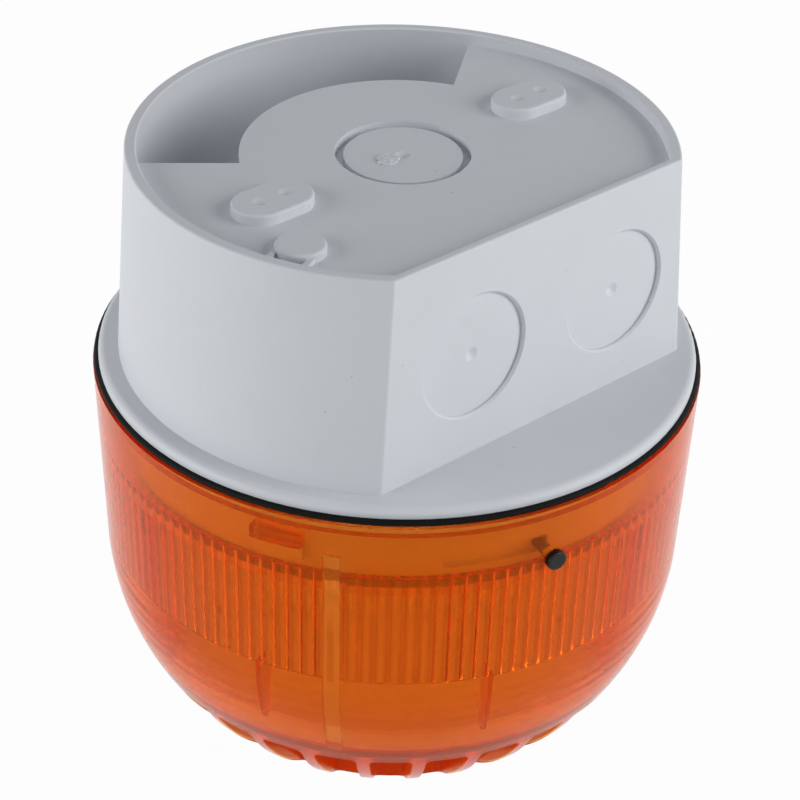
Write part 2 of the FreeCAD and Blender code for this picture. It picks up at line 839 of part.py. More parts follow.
def make_lens():
    outside = lens_body(0)
    shell = outside.cut(lens_body(lens_wall))
    tab_low = lug_top + turn_clearance
    tab_bore = spigot_radius + turn_clearance
    tabs = [ring_piece(tab_bore, lens_top_radius, tab_low, tab_low + tab_thickness, angle, tab_angle)
            for angle in lug_angles()]
    ledge = tube(baffle_radius() - ledge_width, lens_top_radius, ledge_bottom, ledge_top)
    inside = lens_body(lens_wall / 2)
    fittings = tabs + [ledge] + lens_posts() + dome_rings() + dome_ribs()
    fittings = [piece.common(inside) for piece in fittings]
    shell = shell.fuse(fittings + [flute_ring()])
    slot = slot_tool()
    first_slot = slot_first_rib + 180 / slot_count
    shell = shell.cut([turned(slot, angle) for angle in around(slot_count, first_slot)])
    shell = shell.cut(keyways() + [rim_rebate()])
    shell = shell.fuse(slot_guard().common(inside))
    for spot in post_places():
        shell = shell.cut(disc(board_screw_radius + seat_clearance, head_board_height - board_screw_grip,
                               head_board_height, spot.x, spot.y))
    hole = rod(pin_radius + slide_clearance, polar(spigot_radius, pin_angle, pin_level),
               polar(2 * lens_top_radius, pin_angle, pin_level))
    return shell.cut(hole).removeSplitter()


def lens_radius(z):
    """The outside of the lens's wall above the dome."""
    return lens_waist_radius + lens_draft * (z - dome_height) / (lens_height - dome_height)


def make_lock_pin():
    """A push-in pin: a domed head outside the lens and a stem that reaches the spigot's groove."""
    tip = spigot_radius - pin_groove_depth + turn_clearance
    seat = max(lens_radius(pin_level - pin_head_radius), lens_radius(pin_level + pin_head_radius))
    seat = seat + slide_clearance
    stem = rod(pin_radius, vec(tip, 0, 0), vec(seat + pin_head_height / 2, 0, 0))
    head = rod(pin_head_radius, vec(seat, 0, 0), vec(seat + pin_head_height, 0, 0))
    crown = [e for e in head.Edges if len(e.Vertexes) == 1 and e.Vertexes[0].X > seat + pin_head_height / 2]
    head = head.makeFillet(pin_head_height / 4, crown)
    return moved(turned(stem.fuse(head).removeSplitter(), pin_angle), 0, 0, pin_level)


# Sounder
def baffle_radius():
    """The inside of the dome at the ledge's upper face, less the gap at the baffle's edge."""
    return dome_inner_radius(ledge_top) - baffle_edge_gap


def around_posts(shape, low, high):
    """The shape with room left for the three lens posts."""
    post = disc(lens_post_radius + baffle_edge_gap, low, high, lens_post_circle)
    return shape.cut([turned(post, angle) for angle in around(post_count, post_angle)])


def make_baffle_seal():
    ring = tube(baffle_radius() - ledge_width, baffle_radius(), ledge_top, baffle_bottom)
    return around_posts(ring, ledge_top, baffle_bottom)


def driver_screw_places():
    return [polar(driver_screw_circle, angle, 0) for angle in around(post_count, post_angle)]


def make_sound_baffle():
    plate = around_posts(disc(baffle_radius(), baffle_bottom, baffle_top), baffle_bottom, baffle_top)
    for spot in driver_screw_places():
        plate = plate.cut(disc(driver_screw_radius + seat_clearance, baffle_bottom, baffle_top, spot.x, spot.y))
    return plate


def make_driver_frame():
    low = baffle_bottom - driver_depth
    flange_low = baffle_bottom - driver_flange_thickness
    bore = yoke_radius + seat_clearance
    inside = driver_skirt_radius - driver_skirt_wall
    frame = revolved([(bore, baffle_bottom), (driver_flange_radius, baffle_bottom),
                      (driver_flange_radius, flange_low), (driver_skirt_radius, flange_low),
                      (driver_skirt_radius, low), (inside - driver_ledge, low),
                      (inside - driver_ledge, low + driver_ledge), (inside, low + driver_ledge),
                      (inside, flange_low), (bore, flange_low)])
    for spot in driver_screw_places():
        frame = frame.cut(disc(driver_screw_radius + seat_clearance, flange_low, baffle_bottom, spot.x, spot.y))
    return frame


def make_driver_screws():
    screw = pan_screw(driver_screw_radius, driver_screw_head, driver_screw_head_height,
                      driver_flange_thickness + baffle_thickness)
    level = baffle_bottom - driver_flange_thickness
    return group([moved(screw, spot.x, spot.y, level) for spot in driver_screw_places()])


def make_driver_yoke():
    """The steel cup of the motor, held in the frame's bore against the baffle."""
    cup = disc(yoke_radius, baffle_bottom - yoke_height, baffle_bottom)
    return cup.cut(disc(yoke_radius - yoke_wall, baffle_bottom - yoke_height, baffle_bottom - yoke_wall))


def make_driver_magnet():
    top = baffle_bottom - yoke_wall
    return disc(magnet_radius, top - magnet_height, top)


def make_pole_plate():
    top = baffle_bottom - yoke_wall - magnet_height
    return disc(pole_plate_radius, top - pole_plate_height, top)


def make_voice_coil():
    low = baffle_bottom - driver_depth + diaphragm_rise
    return tube(coil_radius, coil_radius + coil_gauge, low, low + coil_height)


def make_diaphragm():
    """A thin cone from the frame's lower ledge to the coil, closed by a shallow cap."""
    low = baffle_bottom - driver_depth
    edge = driver_skirt_radius
    clamp = edge - driver_skirt_wall - driver_ledge
    neck = coil_radius + coil_gauge
    under = low - diaphragm_gauge
    return revolved([(0, under), (neck, under + diaphragm_rise), (clamp, under), (edge, under),
                     (edge, low), (clamp, low), (neck, low + diaphragm_rise), (0, low)])


# Light
def hexagon(flats, low, high):
    corner = flats / 2 / math.cos(math.pi / column_sides)
    corners = [polar(corner, angle, low) for angle in around(column_sides, post_angle)]
    return Part.Face(Part.makePolygon(corners + corners[:1])).extrude(vec(0, 0, high - low))


def make_led_column():
    outside = hexagon(column_flats, baffle_top, head_board_height)
    return outside.cut(hexagon(column_flats - 2 * column_wall, baffle_top, head_board_height))


def led_face_angles():
    return around(column_sides, post_angle + 180 / column_sides)


def make_led_boards():
    board = block(led_board_thickness, led_board_width, led_board_bottom, led_board_top,
                  (column_flats + led_board_thickness) / 2)
    return group([turned(board, angle) for angle in led_face_angles()])


def make_leds():
    seat = column_flats / 2 + led_board_thickness
    lights = []
    for row in range(led_rows):
        z = led_board_bottom + led_end_gap + row * led_pitch
        body = block(led_body_height, led_width, z - led_width / 2, z + led_width / 2,
                     seat + led_body_height / 2)
        dome = Part.makeSphere(led_dome_radius, vec(seat + led_body_height, 0, z))
        dome = dome.common(block(led_width, led_width, z - led_width, z + led_width, seat + led_width / 2))
        light = body.fuse(dome).removeSplitter()
        lights.extend(turned(light, angle) for angle in led_face_angles())
    return group(lights)


# Board in the head and what it carries
def make_head_board():
    board = disc(head_board_radius, head_board_height, head_board_top)
    for spot in post_places():
        board = board.cut(disc(board_screw_radius + seat_clearance, head_board_height, head_board_top,
                               spot.x, spot.y))
    return board


def make_board_screws():
    screw = pan_screw(board_screw_radius, board_screw_head, board_screw_head_height,
                      board_thickness + board_screw_grip - seat_clearance)
    screw.rotate(ORIGIN, vec(1, 0, 0), 180)
    return group([moved(screw, spot.x, spot.y, head_board_top) for spot in post_places()])


def make_contact_pads():
    """Arc-shaped pads, long enough for the springs to stay on them while the head is twisted."""
    pads = []
    for x in contact_places():
        radius = math.hypot(x, carrier_y)
        angle = math.degrees(math.atan2(carrier_y, x))
        span = twist_angle + 2 * pad_margin
        pads.append(ring_piece(radius - pad_width / 2, radius + pad_width / 2, head_board_top,
                               head_board_top + pad_thickness, angle + twist_angle / 2, span))
    return group(pads)


def dip_places():
    return [(i - (dip_ways - 1) / 2) * dip_pitch for i in range(dip_ways)]


def make_dip_switch_body():
    top = head_board_top + dip_height
    body = block(dip_ways * dip_pitch + 2 * dip_end_wall, dip_width, head_board_top, top, 0, dip_y)
    width = dip_slider_width + 2 * slide_clearance
    length = dip_slot_length + 2 * slide_clearance
    for x in dip_places():
        body = body.cut(block(width, length, top - dip_slot_depth, top, x, dip_y))
    return body


def make_dip_slider(x):
    """One slider, at rest at the -Y end of its slot."""
    low = head_board_top + dip_height - dip_slot_depth + slide_clearance
    high = head_board_top + dip_height + dip_slider_stand
    y = dip_y - (dip_slot_length - dip_slider_length) / 2
    return block(dip_slider_width, dip_slider_length, low, high, x, y)


def make_volume_trimmer_body():
    top = head_board_top + trimmer_height
    body = block(trimmer_width, trimmer_width, head_board_top, top, trimmer_x, trimmer_y)
    return body.cut(disc(trimmer_rotor_radius + slide_clearance, top - trimmer_rotor_height, top,
                         trimmer_x, trimmer_y))


def make_volume_trimmer_rotor():
    top = head_board_top + trimmer_height
    high = top + trimmer_rotor_stand
    low = top - trimmer_rotor_height + slide_clearance
    rotor = disc(trimmer_rotor_radius, low, high, trimmer_x, trimmer_y)
    narrow = trimmer_slot_width
    wide = trimmer_slot_length
    for width, depth in ((narrow, wide), (wide, narrow)):
        rotor = rotor.cut(block(width, depth, high - trimmer_slot_depth, high, trimmer_x, trimmer_y))
    return rotor


def make_control_chip():
    top = head_board_top + chip_height
    chip = block(chip_width, chip_width, head_board_top, top, chip_x, chip_y)
    upper = [e for e in chip.Edges if e.BoundBox.ZMin > top - 1e-6]
    return chip.makeFillet(chip_height / 6, upper)


def make_boost_inductor():
    top = head_board_top + inductor_height
    flange = inductor_height / 5
    drum_core = disc(inductor_radius, head_board_top, head_board_top + flange, inductor_x, inductor_y)
    drum_core = drum_core.fuse(disc(inductor_radius, top - flange, top, inductor_x, inductor_y))
    winding = disc(inductor_radius - flange / 2, head_board_top, top, inductor_x, inductor_y)
    return drum_core.fuse(winding).removeSplitter()


def make_board_capacitors():
    cans = []
    for i in range(board_capacitor_count):
        y = board_capacitor_y - i * board_capacitor_pitch
        can = disc(board_capacitor_radius, head_board_top, head_board_top + board_capacitor_height,
                   board_capacitor_x, y)
        top = [e for e in can.Edges if len(e.Vertexes) == 1 and e.Vertexes[0].Z > head_board_top + 1e-6]
        cans.append(can.makeFillet(board_capacitor_radius / 5, top))
    return group(cans)


nodes = {
    "base_housing": make_base_housing(),
    "flange_seal": make_flange_seal(),
    "terminal_board": make_terminal_board(),
    "terminal_board_screws": make_terminal_board_screws(),
    "terminal_block": make_terminal_block(),
    "terminal_clamps": make_terminal_clamps(),
    "terminal_screws": make_terminal_screws(),
    "contact_carrier": make_contact_carrier(),
    "contact_springs": make_contact_springs(),
    "supply_capacitor": make_supply_capacitor(),
    "suppression_choke": make_suppression_choke(),
    "surge_varistor": make_surge_varistor(),
    "fuse": make_fuse(),
    "fuse_clips": make_fuse_clips(),
    "lens": make_lens(),
    "lock_pin": make_lock_pin(),
    "baffle_seal": make_baffle_seal(),
    "sound_baffle": make_sound_baffle(),
    "driver_frame": make_driver_frame(),
    "driver_screws": make_driver_screws(),
    "driver_yoke": make_driver_yoke(),
    "driver_magnet": make_driver_magnet(),
    "pole_plate": make_pole_plate(),
    "voice_coil": make_voice_coil(),
    "diaphragm": make_diaphragm(),
    "led_column": make_led_column(),
    "led_boards": make_led_boards(),
    "leds": make_leds(),
    "head_board": make_head_board(),
    "board_screws": make_board_screws(),
    "contact_pads": make_contact_pads(),
    "dip_switch_body": make_dip_switch_body(),
    "volume_trimmer_body": make_volume_trimmer_body(),
    "volume_trimmer_rotor": make_volume_trimmer_rotor(),
    "control_chip": make_control_chip(),
    "boost_inductor": make_boost_inductor(),
    "board_capacitors": make_board_capacitors(),
}
for number, place in enumerate(dip_places(), start=1):
    nodes[f"dip_slider_{number}"] = make_dip_slider(place)

os.makedirs("parts", exist_ok=True)
for name, shape in nodes.items():
    solids = shape.Solids
    print(name, len(solids), "solids", round(shape.Volume, 2), "mm3", "valid" if shape.isValid() else "INVALID")
    shape.exportStep(f"parts/{name}.step")
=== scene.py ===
# %% [markdown]
# # A beacon sounder, dressed in Blender
# The beacon is a warning light and a horn in one: an amber lens that twists onto a light grey wall base.
# Here it stands on its lens with the base up. The construction comes from the CAD frame, which holds every
# piece at its real size. This lesson adds what the frame lacks: the finishes, the light and the camera.

# %% Load the frame
import json
import math
import bpy
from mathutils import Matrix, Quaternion, Vector


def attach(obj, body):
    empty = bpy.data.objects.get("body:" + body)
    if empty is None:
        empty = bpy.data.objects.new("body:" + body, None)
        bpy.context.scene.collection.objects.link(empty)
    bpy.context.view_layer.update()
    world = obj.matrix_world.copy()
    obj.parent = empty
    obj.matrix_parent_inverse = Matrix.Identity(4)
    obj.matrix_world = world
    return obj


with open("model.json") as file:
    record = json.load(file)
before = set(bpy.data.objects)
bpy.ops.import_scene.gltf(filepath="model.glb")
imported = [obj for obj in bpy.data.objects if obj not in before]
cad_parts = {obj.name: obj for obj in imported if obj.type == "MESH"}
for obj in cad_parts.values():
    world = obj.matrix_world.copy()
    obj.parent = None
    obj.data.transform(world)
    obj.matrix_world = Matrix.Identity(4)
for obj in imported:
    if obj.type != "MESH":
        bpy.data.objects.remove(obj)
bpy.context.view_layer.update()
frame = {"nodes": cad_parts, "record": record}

nodes = frame["nodes"]

# %% [markdown]
# ## Camera
# The photograph looks down on the beacon from in front of the corner between its round side and its flat
# side. A camera can be placed by eye or worked out from the outline. The angles here were worked out, and a
# small roll about the line of sight gives the beacon the slight lean that it has in the picture.

# %% Camera
MM = 0.001
view_azimuth = math.radians(-42.05)
view_height = math.radians(33.88)
view_roll = math.radians(1.75)
view_distance = 375 * MM
view_target = Vector((0, 0, 63.4 * MM))
view_side_step = 0.7 * MM
image_size = 800
focal_length_pixels = 2200


def view_direction(azimuth, height):
    """The direction from the beacon to a place at this azimuth, from -Y towards +X, and this height."""
    flat = math.cos(height)
    return Vector((math.sin(azimuth) * flat, -math.cos(azimuth) * flat, math.sin(height)))


camera_data = bpy.data.cameras.new("camera")
camera = bpy.data.objects.new("camera", camera_data)
bpy.context.scene.collection.objects.link(camera)
towards_camera = view_direction(view_azimuth, view_height)
turn = (-towards_camera).to_track_quat("-Z", "Y") @ Quaternion((0, 0, 1), view_roll)
side = turn @ Vector((1, 0, 0))
camera.location = view_target + view_side_step * side + view_distance * towards_camera
camera.rotation_euler = turn.to_euler()
camera_data.lens = camera_data.sensor_width * focal_length_pixels / image_size
camera_data.clip_start = 10 * MM
bpy.context.scene.camera = camera
print("camera:", round(camera_data.lens, 1), "mm lens,", round(view_distance / MM), "mm away")

# %% [markdown]
# ## Writing finishes as expressions
# A finish is a tree of shader nodes. Each could be wired by hand, with two lines for every link, but the
# idea would be lost in the wiring. Here a small class wraps a socket, so that sums on values are written as
# Python expressions, and each step adds one Math node.

# %% Values
class Value:
    """A shader socket that takes part in Python arithmetic, one Math node for each step."""

    def __init__(self, finish, socket):
        self.finish = finish
        self.socket = socket

    def maths(self, operation, first, second):
        return self.finish.node("ShaderNodeMath", {"operation": operation}, {0: first, 1: second})

    def __add__(self, other):
        return self.maths("ADD", self, other)

    def __radd__(self, other):
        return self.maths("ADD", other, self)

    def __sub__(self, other):
        return self.maths("SUBTRACT", self, other)

    def __rsub__(self, other):
        return self.maths("SUBTRACT", other, self)

    def __mul__(self, other):
        return self.maths("MULTIPLY", self, other)

    def __rmul__(self, other):
        return self.maths("MULTIPLY", other, self)


print("values: sums, differences and products")

# %% [markdown]
# ## One finish and its nodes
# Every other node comes from one method, which takes the node's type, its settings and its sockets. The few
# patterns that come back in many finishes, such as noise and bump, are short methods on top of it. Patterns
# read Object coordinates, in metres, so they keep their scale and stay on their piece when it moves.

# %% Finishes
class Finish:
    """One material, and the nodes that make it."""

    def __init__(self, name):
        self.material = bpy.data.materials.new(name)
        self.material.use_nodes = True
        self.tree = self.material.node_tree
        self.shader = self.tree.nodes["Principled BSDF"]
        self.place = self.node("ShaderNodeTexCoord", output="Object")

    def feed(self, socket, value):
        if isinstance(value, Value):
            self.tree.links.new(value.socket, socket)
        else:
            socket.default_value = value

    def node(self, kind, settings=None, sockets=None, output=0):
        """Add a node: first its settings, then the values or links of its sockets. Gives one output."""
        node = self.tree.nodes.new(kind)
        for key, value in (settings or {}).items():
            setattr(node, key, value)
        for key, value in (sockets or {}).items():
            self.feed(node.inputs[key], value)
        return Value(self, node.outputs[output])

    def surface(self, **sockets):
        """Set the shader's own sockets, named with underscores for spaces."""
        for key, value in sockets.items():
            self.feed(self.shader.inputs[key.replace("_", " ")], value)
        return self.material

    def part(self, axis):
        """One part of the place: X, Y or Z."""
        return self.node("ShaderNodeSeparateXYZ", None, {"Vector": self.place}, axis)

    def flat_place(self):
        """The place without its height."""
        return self.node("ShaderNodeVectorMath", {"operation": "MULTIPLY"}, {0: self.place, 1: (1, 1, 0)})

    def length(self, vector):
        return self.node("ShaderNodeVectorMath", {"operation": "LENGTH"}, {0: vector}, "Value")

    def noise(self, size, detail, place=None):
        """Cloudy noise from 0 to 1, with lumps of this size in metres."""
        sockets = {"Vector": place or self.place, "Scale": 1 / size, "Detail": detail}
        return self.node("ShaderNodeTexNoise", None, sockets, "Fac")

    def zigzag(self, value, half):
        """A line that rises from 0 to 1 over this half pitch, and falls again over the next."""
        return self.node("ShaderNodeMath", {"operation": "PINGPONG"}, {0: value, 1: half}) * (1 / half)

    def ramp(self, value, low, high):
        """The value's stretch from low to high, as 0 to 1, held level outside it."""
        sockets = {"Value": value, "From Min": low, "From Max": high}
        return self.node("ShaderNodeMapRange", {"interpolation_type": "SMOOTHSTEP"}, sockets)

    def between(self, value, span, edge):
        """One where the value lies inside the span, and zero outside it, with soft edges of this width."""
        low, high = span
        return self.ramp(value, low - edge, low) * (1 - self.ramp(value, high, high + edge))

    def blend(self, factor, first, second):
        """From the first colour to the second."""
        return self.node("ShaderNodeMix", {"data_type": "RGBA"}, {"Factor": factor, 6: first, 7: second}, 2)

    def bump(self, height, depth):
        """A normal for a height from 0 to 1, where 1 stands this many metres proud."""
        return self.node("ShaderNodeBump", None, {"Height": height, "Distance": depth, "Strength": 1.0})


def rgb(red, green, blue):
    """A colour written as it looks on a screen, from 0 to 255, as a linear shader colour."""
    shares = [level / 255 for level in (red, green, blue)]
    linear = [s / 12.92 if s <= 10 / 255 else ((s + 0.055) / 1.055) ** 2.4 for s in shares]
    return (*linear, 1.0)


def shade(colour, share):
    """A colour made lighter or darker by a share."""
    return (*[min(1.0, c * share) for c in colour[:3]], 1.0)


finishes = {}
print("finish nodes are ready")

# %% [markdown]
# ## The base's plastic
# The base is one moulding of light grey plastic. A mould leaves a satin skin: a fine even grain, slow
# changes of gloss, and a few stray specks and rubbed spots from handling. The grain is bump, because it is
# far too fine to model, and the specks are the highest peaks of a fine noise.

# %% Base plastic
base_grey = rgb(219, 221, 225)
speck_grey = rgb(120, 120, 122)
base_grain_depth = 0.01 * MM


def base_plastic(name):
    finish = Finish(name)
    clouds = finish.noise(18 * MM, 3.0)
    grain = finish.noise(0.35 * MM, 2.0)
    specks = finish.ramp(finish.noise(1.1 * MM, 1.0), 0.79, 0.83)
    rubs = finish.ramp(finish.noise(7 * MM, 5.0), 0.62, 0.74)
    colour = finish.blend(clouds, shade(base_grey, 0.965), shade(base_grey, 1.02))
    colour = finish.blend(specks * 0.35, colour, speck_grey)
    colour = finish.blend(rubs * 0.25, colour, shade(base_grey, 0.9))
    roughness = 0.42 + clouds * 0.1 - rubs * 0.08
    return finish.surface(Base_Color=colour, Roughness=roughness, Specular_IOR_Level=0.35,
                          Normal=finish.bump(grain, base_grain_depth))


finishes["base_plastic"] = base_plastic("base_plastic")
print("base plastic:", len(finishes["base_plastic"].node_tree.nodes), "nodes")

# %% [markdown]
# ## Places on the lens
# Two places on the lens need a finish of their own. The faces inside the sound slots have the mould's
# frosted skin. The furrows between the flutes, the upright prisms inside the wall, get painted shade: a
# darker tint. Faces could be picked by hand and given a second material, but both places follow from the
# lens's sizes, so they are worked out in the shader: the slots by their depth under the dome's arc, the
# furrows by the angle round the axis.

# %% Places on the lens
dome_height = 42 * MM
dome_radius = 44.5 * MM
dome_centre = 5.3 * MM
slot_span = (0.6 * MM, 22 * MM)
flute_count = 135
flute_span = (41.6 * MM, 63 * MM)
flute_reach = (46.3 * MM, 48.3 * MM)
place_edge = 0.2 * MM


def flute_furrows(finish):
    """Where the painted shade goes: one in the furrows between the flutes, on the inside of the wall, and
    zero elsewhere.
    """
    sides = {0: finish.part("Y"), 1: finish.part("X")}
    angle = finish.node("ShaderNodeMath", {"operation": "ARCTAN2"}, sides)
    furrow = finish.zigzag(angle * (flute_count / math.tau), 0.5)
    wall = finish.between(finish.length(finish.flat_place()), flute_reach, place_edge)
    return finish.ramp(furrow, 0.35, 0.7) * wall * finish.between(finish.part("Z"), flute_span, place_edge)


def slot_faces(finish):
    """One on the faces inside the sound slots, which lie deeper than the dome's skin, and zero elsewhere."""
    reach = finish.length(finish.flat_place())
    height = finish.part("Z")
    spoke = finish.node("ShaderNodeCombineXYZ", None, {"X": reach - dome_centre, "Z": height - dome_height})
    depth = dome_radius - finish.length(spoke)
    return finish.ramp(depth, 0.1 * MM, 0.4 * MM) * finish.between(height, slot_span, place_edge)


print("lens:", flute_count, "flutes, slots up to", round(slot_span[1] / MM), "mm")

# %% [markdown]
# ## The lens's amber plastic
# The lens is amber polycarbonate, clear but not perfectly so. It could be tinted at its surface, but dye
# colours the light all along its way through the wall, so that thick places are redder than thin ones. The
# dye here is absorption inside the wall. A little of the light also scatters at the skin, which makes the
# whole lens glow orange and softens what is seen inside: a thin orange haze is mixed over the clear
# plastic. More of it lies on the frosted faces in the slots. The furrows between the flutes have painted
# shade: their tint is darkened.

# %% Amber lens
dye_colour = (0.99, 0.64, 0.0, 1.0)
dye_density = 640
haze_colour = (1.0, 0.23, 0.006, 1.0)
haze_share = 0.14
frost_colour = (1.0, 0.13, 0.01, 1.0)
frost_share = 0.5
# Painted shade in the furrows between the flutes: a darker tint and how much of it is mixed in.
furrow_shade_colour = (0.5, 0.18, 0.06, 1.0)
furrow_shade_share = 0.7
gloss_tint = (1.0, 0.3, 0.0, 1.0)


def lens_amber(name):
    finish = Finish(name)
    flow = finish.noise(25 * MM, 2.0)
    marks = finish.ramp(finish.noise(4 * MM, 4.0), 0.45, 0.75)
    tint = finish.blend(flow, rgb(255, 250, 240), rgb(255, 255, 250))
    # Painted shade: the tint is darkened in the furrows between the flutes.
    tint = finish.blend(flute_furrows(finish) * furrow_shade_share, tint, furrow_shade_colour)
    finish.surface(Base_Color=tint, IOR=1.3, Roughness=0.13 + marks * 0.06, Specular_Tint=gloss_tint,
                   Transmission_Weight=1.0)
    clear = Value(finish, finish.shader.outputs["BSDF"])
    frost = slot_faces(finish)
    scatter = finish.blend(frost, haze_colour, frost_colour)
    haze = finish.node("ShaderNodeBsdfPrincipled", None,
                       {"Base Color": scatter, "Roughness": 0.5, "Specular IOR Level": 0.0})
    dye = finish.node("ShaderNodeVolumeAbsorption", None, {"Color": dye_colour, "Density": dye_density})
    share = haze_share * (0.85 + flow * 0.3) + frost * frost_share
    skin = finish.node("ShaderNodeMixShader", None, {0: share, 1: clear, 2: haze})
    output = finish.tree.nodes["Material Output"]
    finish.feed(output.inputs["Surface"], skin)
    finish.feed(output.inputs["Volume"], dye)
    return finish.material


finishes["lens_amber"] = lens_amber("lens_amber")
print("amber lens: dye", dye_density, "per metre, haze", haze_share)

# %% [markdown]
# ## Moulded plastic and rubber
# Most of the small pieces are plain mouldings. Each kind of finish is one function that takes a colour, so
# that pieces of one kind look related without being the same. Moulded plastic has slow clouds of colour and
# gloss under a fine grain. Rubber is duller, with the pale bloom that comes out of it with age.

# %% Moulded plastic and rubber
def moulded(name, colour, roughness):
    finish = Finish(name)
    clouds = finish.noise(3 * MM, 3.0)
    skin = finish.noise(0.3 * MM, 2.0)
    tint = finish.blend(clouds, shade(colour, 0.92), shade(colour, 1.06))
    dullness = roughness - 0.06 + clouds * 0.12
    return finish.surface(Base_Color=tint, Roughness=dullness, Specular_IOR_Level=0.25,
                          Normal=finish.bump(skin, 0.006 * MM))


def rubber(name, colour):
    finish = Finish(name)
    bloom = finish.ramp(finish.noise(2.5 * MM, 5.0), 0.4, 0.75)
    skin = finish.noise(0.2 * MM, 2.0)
    tint = finish.blend(bloom, colour, shade(colour, 1.7))
    return finish.surface(Base_Color=tint, Roughness=0.48 + bloom * 0.14, Specular_IOR_Level=0.08,
                          Normal=finish.bump(skin, 0.008 * MM))


mouldings = {
    "pin_black": (rgb(18, 18, 18), 0.36),
    "block_black": (rgb(40, 40, 42), 0.45),
    "part_white": (rgb(247, 247, 244), 0.4),
    "part_blue": (rgb(40, 90, 170), 0.35),
    "part_red": (rgb(190, 40, 34), 0.35),
    "varistor_blue": (rgb(60, 96, 160), 0.3),
    "cone_film": (rgb(210, 192, 150), 0.3),
    "led_lens": (rgb(252, 240, 196), 0.2),
}
for name, (colour, roughness) in mouldings.items():
    finishes[name] = moulded(name, colour, roughness)
finishes["seal_rubber"] = rubber("seal_rubber", rgb(12, 12, 11))
finishes["seal_silicone"] = rubber("seal_silicone", rgb(236, 236, 232))
print("mouldings:", len(mouldings), "and two rubbers")

# %% [markdown]
# ## Metal, ferrite and ceramic
# Screws, contacts and cans are bare metal, with a stain that changes their colour and gloss. The fine lines
# that tools leave could be modelled, but they are finer than a hair, so a noise squeezed along the upright
# axis gives level lines, like those of turning. Ferrite and ceramic are pressed from powder and fired, so
# their grain is the powder's. A coil's wire is too thin to model turn by turn, so a zigzag along its axis
# stands for it.

# %% Metal, ferrite and ceramic
def metal(name, colour, roughness):
    finish = Finish(name)
    stain = finish.noise(2 * MM, 4.0)
    squeezed = finish.node("ShaderNodeMapping", None, {"Vector": finish.place, "Scale": (1, 1, 12)})
    lines = finish.noise(0.4 * MM, 2.0, squeezed)
    tint = finish.blend(stain, shade(colour, 0.8), colour)
    return finish.surface(Base_Color=tint, Metallic=1.0, Roughness=roughness - 0.08 + stain * 0.16,
                          Normal=finish.bump(lines, 0.004 * MM))


def sintered(name, colour):
    finish = Finish(name)
    grit = finish.noise(0.25 * MM, 3.0)
    tint = finish.blend(grit, shade(colour, 0.6), shade(colour, 1.5))
    return finish.surface(Base_Color=tint, Roughness=0.55 + grit * 0.2, Normal=finish.bump(grit, 0.02 * MM))


def winding(name, colour):
    """Enamelled wire laid in turns round an upright axis."""
    finish = Finish(name)
    turns = finish.zigzag(finish.part("Z"), 0.15 * MM)
    # Painted shade: the colour falls to half towards the grooves between the turns.
    tint = finish.blend(turns, shade(colour, 0.5), colour)
    return finish.surface(Base_Color=tint, Metallic=0.8, Roughness=0.32 + turns * 0.1,
                          Normal=finish.bump(turns, 0.06 * MM))


finishes["screw_steel"] = metal("screw_steel", rgb(196, 198, 200), 0.3)
finishes["contact_brass"] = metal("contact_brass", rgb(212, 176, 104), 0.3)
finishes["can_aluminium"] = metal("can_aluminium", rgb(222, 222, 224), 0.34)
finishes["core_ferrite"] = sintered("core_ferrite", rgb(62, 62, 66))
finishes["fuse_ceramic"] = sintered("fuse_ceramic", rgb(226, 222, 210))
finishes["coil_copper"] = winding("coil_copper", rgb(200, 120, 70))
print("metals, ferrite and ceramic: 6 finishes")

# %% [markdown]
# ## Circuit boards
# A board is glass cloth with copper tracks under a coloured lacquer. The tracks could be drawn one by one,
# but nobody follows them. Here the board is cut into fields, each with its tracks along X or along Y, and
# the tracks show through the lacquer as slightly lighter raised lines, with lower gaps between them.

# %% Circuit boards
track_half_pitch = 0.6 * MM


def circuit_board(name, colour):
    finish = Finish(name)
    x = finish.part("X")
    y = finish.part("Y")
    field = finish.node("ShaderNodeTexVoronoi", {"distance": "CHEBYCHEV"},
                        {"Vector": finish.flat_place(), "Scale": 1 / (7 * MM), "Randomness": 0.6}, "Color")
    across = x + (y - x) * finish.ramp(field, 0.49, 0.51)
    gaps = finish.ramp(finish.zigzag(across, track_half_pitch), 0.4, 0.55)
    clouds = finish.noise(6 * MM, 2.0)
    tint = finish.blend(gaps, shade(colour, 1.12), shade(colour, 0.94))
    tint = finish.blend(clouds * 0.3, tint, shade(colour, 0.85))
    return finish.surface(Base_Color=tint, Roughness=0.3 + clouds * 0.1, Normal=finish.bump(gaps, -0.02 * MM))


finishes["board_green"] = circuit_board("board_green", rgb(70, 120, 82))
finishes["board_white"] = circuit_board("board_white", rgb(243, 243, 239))
print("circuit boards: 2 finishes")

# %% [markdown]
# ## Dressing the pieces
# The record names a material slot for each piece of the beacon. A finish could be hung on each piece by
# hand, but the slots already say which pieces are of one stuff, so each piece takes the finish with its
# slot's name.

# %% Dress the pieces
for subpart in frame["record"]["subparts"]:
    node = nodes[subpart["node"]]
    node.data.materials.clear()
    node.data.materials.append(finishes[subpart["material_slot"]])
print("finishes:", len(finishes), "on", len(nodes), "nodes")

# %% [markdown]
# ## The gate's vestige
# The plastic flowed into the base's mould through a gate near the middle of the rear knockout. Where the
# sprue was twisted off, it left a rough low lump. A bump in the finish could hint at it, but it stands a
# few tenths of a millimetre proud, so it is modelled: a ball is flattened, and a cloudy displacement makes
# it ragged.

# %% Gate vestige
gate_place = (-3.1 * MM, 0.2 * MM, 110.42 * MM)
gate_radius = 1.75 * MM
gate_stretch = (1.1, 0.95, 0.17)
gate_lump = 0.75 * MM
gate_rise = 0.55 * MM
gate_smooth_angle = math.radians(40)

